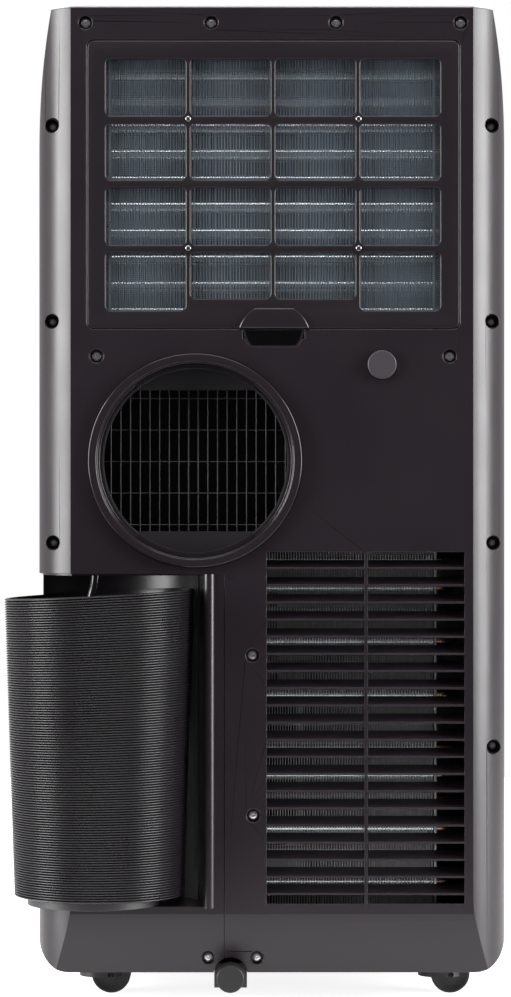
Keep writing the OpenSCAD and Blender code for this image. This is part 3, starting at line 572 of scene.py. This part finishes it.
# ------------------------------------------------------------------ duct collar and guard
DX, DZ = -56.2, 396.1
g = Build()
g.lathe((DX, 0, DZ), (0, 1, 0), rounded_profile([(-5, 72.0), (-5, 78.1), (30, 78.1), (30, 70.0), (8, 70.0), (8, 72.0)], 1.2, 5), n=160)
prof = rounded_profile([(2.5, 77.0), (2.5, 85.6), (6, 85.6), (6, 77.0)], 1.0, 4)
t = math.degrees(math.acos((DZ - 317) / 85.6))
g.lathe((DX, 0, DZ), (0, 1, 0), prof, n=140, up=(0, 0, -1), a0=t + 0.4, a1=360 - t - 0.4)
for up in ((0, 0, 1), (0, 0, -1)):
    g.lathe((DX, 8, DZ), (0, 1, 0), rounded_profile([(0, 72.6), (0, 67.5), (4, 67.5), (4, 72.6)], 0.6, 3), n=40, up=up, a0=-38, a1=38)
collar = g.make("duct_collar_look", 30)
settle(collar, "duct_collar")
g = Build()
g.lathe((DX, 0, DZ), (0, 1, 0), rounded_profile([(20, 67.5), (20, 69.95), (25, 69.95), (25, 67.5)], 0.5, 2), n=120)
for i in range(19):
    x = 1.9 + (i - 9) * 7.15
    if abs(x) > 68.6:
        continue
    h = math.sqrt(68.6 ** 2 - x * x)
    g.rod((DX + x, 22.6, DZ - h), (DX + x, 22.6, DZ + h), 0.5, 10)
for k in range(-2, 3):
    z = -0.6 + k * 23.3
    h = math.sqrt(68.6 ** 2 - z * z)
    g.rod((DX - h, 23.6, DZ + z), (DX + h, 23.6, DZ + z), 0.45, 10)
for s_ in (-1, 1):
    # plate over the wires, and one under them
    a0 = math.acos(52 / 68.9)
    rim = [(68.9 * math.sin(a0 * (2 * i / 24 - 1)), s_ * 68.9 * math.cos(a0 * (2 * i / 24 - 1))) for i in range(25)]
    vs_ = [P(DX + x_, y_, DZ + z_) for y_ in (21, 24.5) for x_, z_ in rim]
    g.add(vs_, [tuple(range(24, -1, -1)), tuple(range(25, 50))] + [(i, (i + 1) % 25, 25 + (i + 1) % 25, 25 + i) for i in range(25)])
guard = g.make("exhaust_guard_look", 40)
settle(guard, "exhaust_guard")

# ------------------------------------------------------------------ exhaust hose
R0, R1, HT = 62.5, 70.0, 221.4
RIDGES = 121
SEG = 112
TILT = math.tan(math.radians(3))


def hose_z(f, x):
    return HZ + f * (HT + (x - HX) * TILT)


outer = []
shape = ((0.00, -1.7), (0.12, -0.95), (0.24, -0.38), (0.38, -0.08), (0.5, 0.0), (0.62, -0.08), (0.76, -0.38), (0.88, -0.95))
for i in range(RIDGES):
    for f, dr in shape:
        q = (i + f) / RIDGES
        outer.append((q, R0 + (R1 - R0) * q * HT / (HT + 6) + dr))
outer.append((1.0, outer[-1][1] - 0.2))
inner = [(1.0, outer[-1][1] - 2.0), (0.985, outer[-1][1] - 2.6), (0.0, R0 - 3.9)]
loop = outer + inner
vs, fs = [], []
for k in range(SEG):
    a = 2 * PI * k / SEG
    ca_, sa_ = math.cos(a), math.sin(a)
    for q, r in loop:
        x = HX + r * ca_
        vs.append(P(x, HY + r * sa_, hose_z(q, x)))
nl = len(loop)
for k in range(SEG):
    k2 = (k + 1) % SEG
    for i in range(nl):
        j = (i + 1) % nl
        fs.append((k * nl + i, k2 * nl + i, k2 * nl + j, k * nl + j))
hose = mesh_obj("exhaust_hose_look", vs, fs, 75)
settle(hose, "exhaust_hose")

# ------------------------------------------------------------------ filter frame, net and studs
TX = [-92.3, -30.3, 31.7, 93.7]
TZ = [(505.6, 548.2), (553.5, 595.5), (601.1, 642.3), (648, 689.5)]
TW = 58.4


def rounded_rect(x0, x1, z0, z1, r, n=5):
    out = []
    for cx_, cz_, a0 in ((x1 - r, z1 - r, 0), (x0 + r, z1 - r, 90), (x0 + r, z0 + r, 180), (x1 - r, z0 + r, 270)):
        for i in range(n + 1):
            a = math.radians(a0 + 90 * i / n)
            out.append((cx_ + r * math.cos(a), cz_ + r * math.sin(a)))
    return out


def plate_from_outlines(name, outlines, y0, y1, bevel, res=2):
    """a flat plate between y0 and y1 from closed outlines, holes and all, with rounded edges"""
    c = bpy.data.curves.new(name, "CURVE")
    c.dimensions = "2D"
    c.fill_mode = "BOTH"
    for o_ in outlines:
        s = c.splines.new("POLY")
        s.points.add(len(o_) - 1)
        for i, (x, z) in enumerate(o_):
            s.points[i].co = (x * MM, z * MM, 0, 1)
        s.use_cyclic_u = True
    c.extrude = (y1 - y0) / 2 * MM - bevel * MM
    c.bevel_depth = bevel * MM
    c.bevel_resolution = res
    c.offset = -bevel * MM
    tmp = link(bpy.data.objects.new(name + "_tmp", c))
    dg = bpy.context.evaluated_depsgraph_get()
    me = bpy.data.meshes.new_from_object(tmp.evaluated_get(dg))
    bpy.data.objects.remove(tmp)
    # curve plane x, y becomes x, z; thickness lies along y
    me.transform(Matrix(((1, 0, 0, OX), (0, 0, -1, OY + (y0 + y1) / 2 * MM), (0, 1, 0, 0), (0, 0, 0, 1))))
    bm = bmesh.new()
    bm.from_mesh(me)
    bmesh.ops.remove_doubles(bm, verts=bm.verts, dist=1e-6)
    bmesh.ops.recalc_face_normals(bm, faces=bm.faces)
    bm.to_mesh(me)
    bm.free()
    o = link(bpy.data.objects.new(name, me))
    smooth_sharp(me, 40)
    return o


windows = []
for i in range(4):
    for k in range(4):
        z0, z1 = TZ[k]
        if k == 0 and i in (1, 2):
            z0 = 514.4
        windows.append(rounded_rect(TX[i] - TW / 2, TX[i] + TW / 2, z0, z1, 3.6))
plate = plate_from_outlines("filter_frame_look", [rounded_rect(-135, 137, 492.4, 703, 5.0)] + windows, 0, 5.5, 1.0)
settle(plate, "filter_frame")
# border behind the net and tab over the finger pocket
g = Build()
g.box((-134.6, 5.4, 497.5), (-125, 8, 698))
g.box((127, 5.4, 497.5), (136.6, 8, 698))
g.box((-125, 5.4, 492.8), (127, 8, 502))
g.box((-125, 5.4, 693), (127, 8, 702.6))
back = g.make("filter_frame_border", 30)
dress(back, "filter")
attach(back, "filter")
arc = []
cz = 484.4
a0 = math.degrees(math.asin((492.5 - cz) / 27.2))
a1 = math.degrees(math.asin((507.6 - cz) / 27.2))
for i in range(17):
    a = math.radians(a0 + (a1 - a0) * i / 16)
    arc.append((1.5 + 27.2 * math.cos(a), cz + 27.2 * math.sin(a)))
arc += [(3.0 - x_, z_) for x_, z_ in reversed(arc)]
tab = plate_from_outlines("filter_tab", [arc], -2.2, 2.2, 1.7, 4)
dress(tab, "collar")
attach(tab, "filter")

# lining of the finger pocket: two arcs and a flat floor
cxp, czp, rp = 1.15, 494.0, 22.6
path = []
a1 = math.degrees(math.asin(15 / rp))
for i in range(15):
    a = math.radians(-4 - (a1 - 4) * i / 14)
    path.append((rp * math.cos(a), rp * math.sin(a)))
path += [(-x_, z_) for x_, z_ in reversed(path)]
inner_ = [(x_ * (rp - 1.6) / rp, max(z_ * (rp - 1.6) / rp, -14.0)) for x_, z_ in path]
vs = []
for y_ in (0.03, 17.3):
    vs += [P(cxp + x_, y_, czp + z_) for x_, z_ in path]
    vs += [P(cxp + x_, y_, czp + z_) for x_, z_ in inner_]
n_ = len(path)
fs = []
for i in range(n_ - 1):
    fs.append((i, i + 1, n_ + i + 1, n_ + i))
    fs.append((2 * n_ + i, 3 * n_ + i, 3 * n_ + i + 1, 2 * n_ + i + 1))
    fs.append((i, 2 * n_ + i, 2 * n_ + i + 1, i + 1))
    fs.append((n_ + i, n_ + i + 1, 3 * n_ + i + 1, 3 * n_ + i))
fs += [(0, n_, 3 * n_, 2 * n_), (n_ - 1, 3 * n_ - 1, 4 * n_ - 1, 2 * n_ - 1)]
g = Build()
g.add(vs, fs)
pocket = g.make("finger_pocket_lining", 30)
dress(pocket, "rear")
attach(pocket, "root")

# net: crossed strands
g = Build()
x = -124.2
while x < 126.5:
    g.box((x - 0.13, 5.75, 502.4), (x + 0.13, 5.95, 692.6))
    x += 1.55
z = 503.0
while z < 692.4:
    g.box((-124.6, 5.85, z - 0.13), (126.6, 6.05, z + 0.13))
    z += 1.55
net = g.make("filter_net_look", 30)
settle(net, "filter_mesh")
g = Build()
for x in (-61.3, 63.3):
    for z in (551.2, 645.7):
        g.lathe((x, 0, z), (0, 1, 0), [(-0.9, 0.05), (-0.86, 0.6), (-0.74, 1.2), (-0.52, 1.7), (-0.25, 2.0), (0, 2.1), (0, 0.05)], n=32)
        g.rod((x, -0.1, z), (x, 6.9, z), 1.45, 12)
studs = g.make("filter_studs_look", 35)
settle(studs, "filter_studs")

# ------------------------------------------------------------------ heat exchangers
def fins(name, node, x0, x1, y0, y1, z0, z1, pitch, thick, seed):
    rnd = random.Random(seed)
    b = Build()
    x = x0 + thick
    while x < x1 - thick:
        j = rnd.uniform(-0.12, 0.12)
        k = rnd.uniform(-0.12, 0.12)
        n_ = len(b.v)
        b.box((x - thick / 2, y0 + 0.2, z0), (x + thick / 2, y1 - 0.2, z1))
        for i in range(n_, len(b.v)):
            if b.v[i].z < (z0 + 1) * MM:
                b.v[i].x += j * MM
            else:
                b.v[i].x += k * MM
        x += pitch
    o = b.make(name, 30)
    settle(o, node)
    return o


fins("evaporator_fin_pack", "evaporator_fins", -119, 119, 25, 65, 481, 702, 2.2, 0.34, 7)
fins("condenser_fin_pack", "condenser_fins", -6, 120, 28, 68, 62, 332, 2.0, 0.34, 8)
for n in ("evaporator_tubes", "condenser_tubes", "refrigerant_pipes"):
    refine(n, 0, sharp=50, tidy=False, weighted=False)
# expanded collars that stand along each tube between the fins, seen as bright streaks
for name, node, x0, x1, y, z0, zp, n_, pitch in (
        ("evaporator_fin_collars", "evaporator_fins", -118.7, 118.7, 35, 506.3, 19.5, 10, 2.2),
        ("condenser_fin_collars", "condenser_fins", -5.5, 119.5, 38, 84.9, 19.83, 13, 1.95)):
    g = Build()
    for i in range(n_):
        for yy in (y,):
            g.lathe((x0, yy, z0 + i * zp), (1, 0, 0), [(0, 3.92), (0, 4.4), (x1 - x0, 4.4), (x1 - x0, 3.92)], n=20)
    o = g.make(name, 30)
    dress(o, "collars")
    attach(o, "root")

for n in ("evaporator_fan", "exhaust_fan", "splash_wheel"):
    refine(n, 0.25, sharp=30)
for n in ("compressor", "accumulator", "compressor_feet", "evaporator_motor", "exhaust_motor", "run_capacitor"):
    refine(n, 0.8, segs=3, sharp=30)
for n in ("exhaust_scroll", "evaporator_scroll", "drain_tray", "outlet_duct", "control_box", "evaporator_plates",
          "condenser_plates", "upper_drain_spout", "splash_motor"):
    refine(n, 0.3, sharp=25)

# ------------------------------------------------------------------ wheels
for name, sx, sy in (("rear_left", -1, 57), ("rear_right", 1, 57), ("front_left", -1, 273), ("front_right", 1, 273)):
    g = Build()
    cx_, cz_ = sx * 126.3 + 6.7, 14.5
    for s in (-1, 1):
        y0 = 3.6 if s > 0 else -9.2
        prof = rounded_profile([(0, 0.1), (0, 14.5), (5.6, 14.5), (5.6, 0.1)], 0.9, 3)
        if s < 0:
            prof = [(0.0, 0.1), (0.0, 5.0), (0.5, 5.3), (0.5, 12.0), (0.1, 12.6), (0.0, 13.4), (0.35, 14.2), (1.1, 14.5),
                    (4.5, 14.5), (5.3, 14.2), (5.6, 13.5), (5.6, 0.1)]
        else:
            prof = [(0.0, 0.1), (0.0, 13.5), (0.3, 14.2), (1.1, 14.5), (4.5, 14.5), (5.25, 14.2), (5.6, 13.4), (5.5, 12.6),
                    (5.1, 12.0), (5.1, 5.3), (5.6, 5.0), (5.6, 0.1)]
        g.lathe((cx_, sy + y0, cz_), (0, 1, 0), prof, n=56)
    g.rod((cx_, sy - 3.8, cz_), (cx_, sy + 3.8, cz_), 2.0, 20)
    o = g.make("wheels_" + name + "_look", 35)
    settle(o, "wheels_" + name)

# ------------------------------------------------------------------ stage
def plain(name, color, strength):
    m = bpy.data.materials.new(name)
    m.use_nodes = True
    nt = m.node_tree
    nt.nodes.clear()
    out = nt.nodes.new("ShaderNodeOutputMaterial")
    d = nt.nodes.new("ShaderNodeBsdfDiffuse")
    e = nt.nodes.new("ShaderNodeEmission")
    a = nt.nodes.new("ShaderNodeAddShader")
    d.inputs["Color"].default_value = color
    e.inputs["Color"].default_value = (1, 1, 1, 1)
    # full strength to the eye, about half to what stands on it
    lp_ = nt.nodes.new("ShaderNodeLightPath")
    mr_ = nt.nodes.new("ShaderNodeMapRange")
    mr_.inputs["To Min"].default_value = strength * 0.42
    mr_.inputs["To Max"].default_value = strength
    nt.links.new(lp_.outputs["Is Camera Ray"], mr_.inputs["Value"])
    nt.links.new(mr_.outputs["Result"], e.inputs["Strength"])
    nt.links.new(d.outputs[0], a.inputs[0])
    nt.links.new(e.outputs[0], a.inputs[1])
    nt.links.new(a.outputs[0], out.inputs["Surface"])
    return m


floor = mesh_obj("floor", [(-1.8, -0.45, 0), (1.8, -0.45, 0), (1.8, 1.8, 0), (-1.8, 1.8, 0)], [(0, 1, 2, 3)])
floor.data.materials.append(plain("floor", (0.80, 0.80, 0.80, 1), 0.85))

world = bpy.data.worlds.new("studio")
scene.world = world
world.use_nodes = True
nt = world.node_tree
nt.nodes.clear()
out = nt.nodes.new("ShaderNodeOutputWorld")
bg = nt.nodes.new("ShaderNodeBackground")
bg2 = nt.nodes.new("ShaderNodeBackground")
mix = nt.nodes.new("ShaderNodeMixShader")
lp = nt.nodes.new("ShaderNodeLightPath")
tc = nt.nodes.new("ShaderNodeTexCoord")
sep = nt.nodes.new("ShaderNodeSeparateXYZ")
ramp = nt.nodes.new("ShaderNodeValToRGB")
mr = nt.nodes.new("ShaderNodeMapRange")
mr.inputs["From Min"].default_value = -1
mr.inputs["From Max"].default_value = 1
nt.links.new(tc.outputs["Generated"], sep.inputs[0])
nt.links.new(sep.outputs["Y"], mr.inputs["Value"])
nt.links.new(mr.outputs["Result"], ramp.inputs["Fac"])
ramp.color_ramp.elements[0].position = 0.0
ramp.color_ramp.elements[0].color = (0.10, 0.10, 0.105, 1)
ramp.color_ramp.elements[1].position = 1.0
ramp.color_ramp.elements[1].color = (0.58, 0.58, 0.585, 1)
e = ramp.color_ramp.elements.new(0.42)
e.color = (0.20, 0.20, 0.205, 1)
e = ramp.color_ramp.elements.new(0.62)
e.color = (0.72, 0.72, 0.725, 1)
nt.links.new(ramp.outputs["Color"], bg.inputs["Color"])
bg.inputs["Strength"].default_value = 1.0
bg2.inputs["Color"].default_value = (1, 1, 1, 1)
bg2.inputs["Strength"].default_value = 1.0
nt.links.new(lp.outputs["Is Camera Ray"], mix.inputs["Fac"])
nt.links.new(bg.outputs[0], mix.inputs[1])
nt.links.new(bg2.outputs[0], mix.inputs[2])
nt.links.new(mix.outputs[0], out.inputs["Surface"])


def softbox(name, loc, target, sx, sy, power, color=(1, 1, 1)):
    l = bpy.data.lights.new(name, "AREA")
    l.shape = "RECTANGLE"
    l.size, l.size_y = sx, sy
    l.energy = power
    l.color = color
    o = link(bpy.data.objects.new(name, l))
    o.location = loc
    d_ = Vector(target) - Vector(loc)
    o.rotation_euler = d_.to_track_quat("-Z", "Y").to_euler()
    return o


for s in (-1, 1):
    softbox("side_box_%s" % ("left" if s < 0 else "right"), (s * 2.95, -0.9, 1.08), (0, 0, 0.55), 1.55, 2.35, 190)
softbox("top_box", (0, -1.35, 3.0), (0, 0, 0.45), 2.6, 1.0, 48)

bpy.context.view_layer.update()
import json
